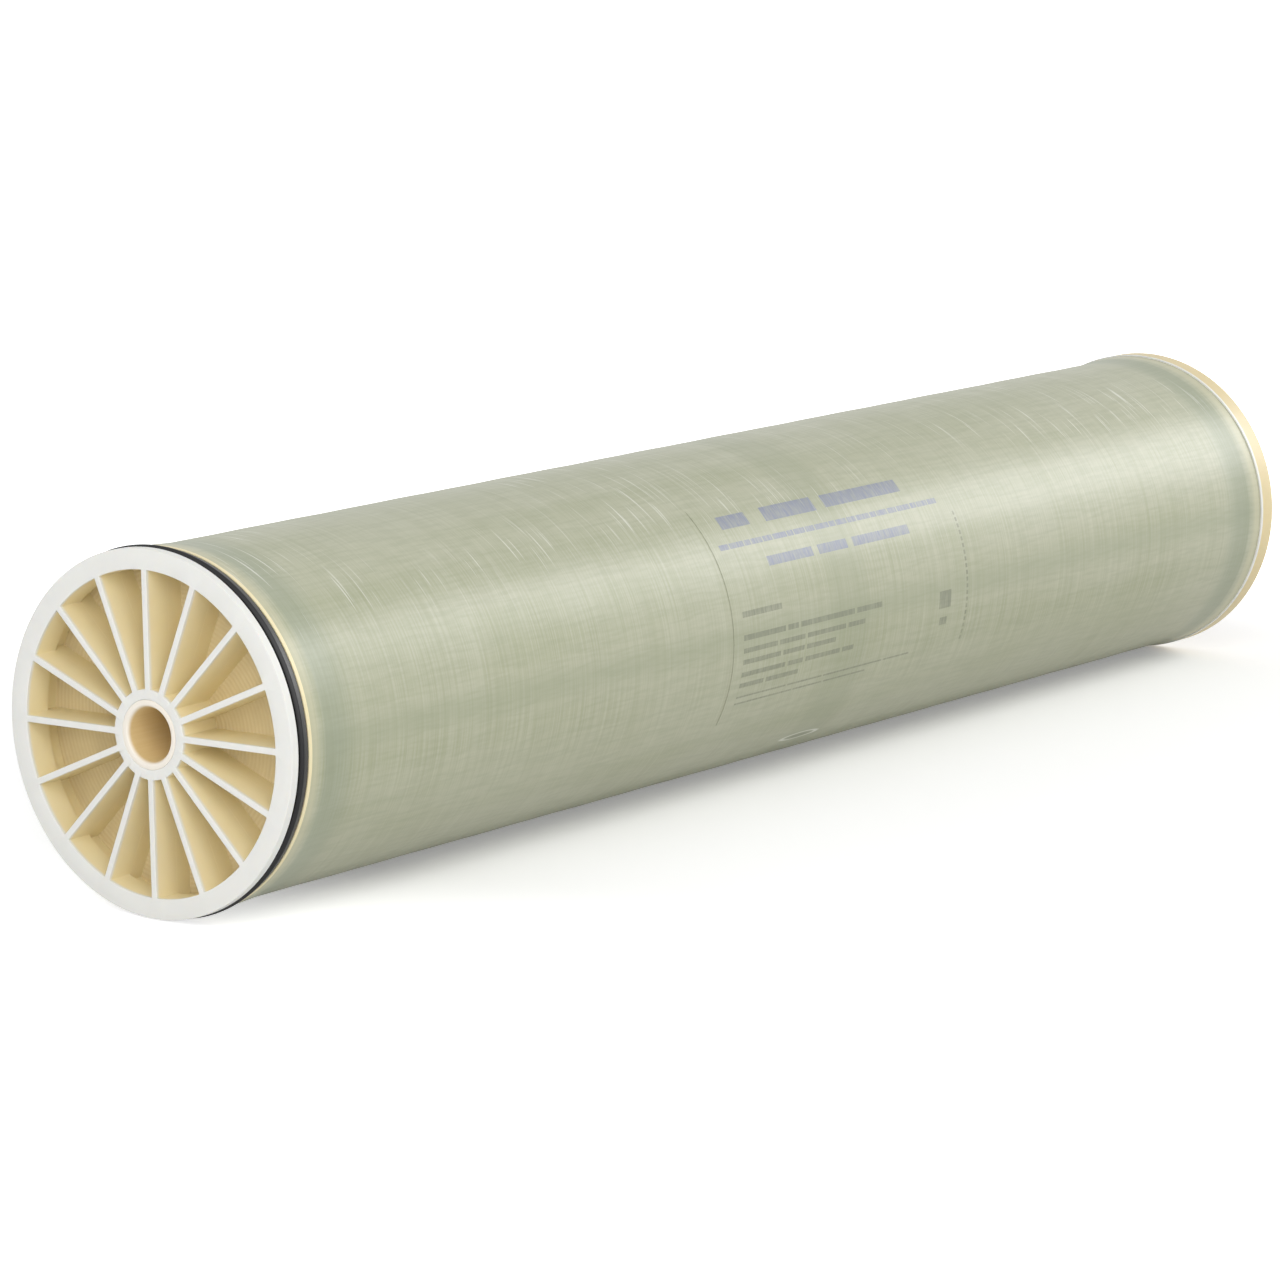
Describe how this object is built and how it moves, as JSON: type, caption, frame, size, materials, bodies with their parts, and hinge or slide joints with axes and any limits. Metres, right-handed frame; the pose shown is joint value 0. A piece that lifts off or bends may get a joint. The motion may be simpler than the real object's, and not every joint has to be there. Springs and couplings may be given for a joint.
{
  "type": "ro membrane element",
  "caption": "Spiral-wound reverse osmosis membrane element: glass-fibre cylinder with spoked end caps, a brine seal at the feed end and a central permeate tube.",
  "frame": {"origin": "centre of the concentrate end face; the element stands on it", "axes": "+Z along the axis from the concentrate end to the feed end, +X to the middle of the printed side, +Y to the left of it"},
  "size_m": [0.203, 0.203, 1.016],
  "materials": {
    "tube": "extruded plastic, satin",
    "carrier": "fine knitted polyester",
    "leaves": "trimmed edges of wound membrane leaves",
    "cap": "moulded plastic, satin",
    "seal": "moulded rubber",
    "tape": "smooth film tape",
    "shell": "wound glass fibre in clear resin",
    "film": "printed film wetted into the resin"
  },
  "bodies": {
    "root": {"permeate_tube": "tube", "carrier_wrap": "carrier", "membrane_roll": "leaves", "feed_end_cap": "cap", "concentrate_end_cap": "cap", "brine_seal": "seal", "tape_wrap": "tape", "fibreglass_shell": "shell", "label_film": "film"}
  },
  "joints": []
}
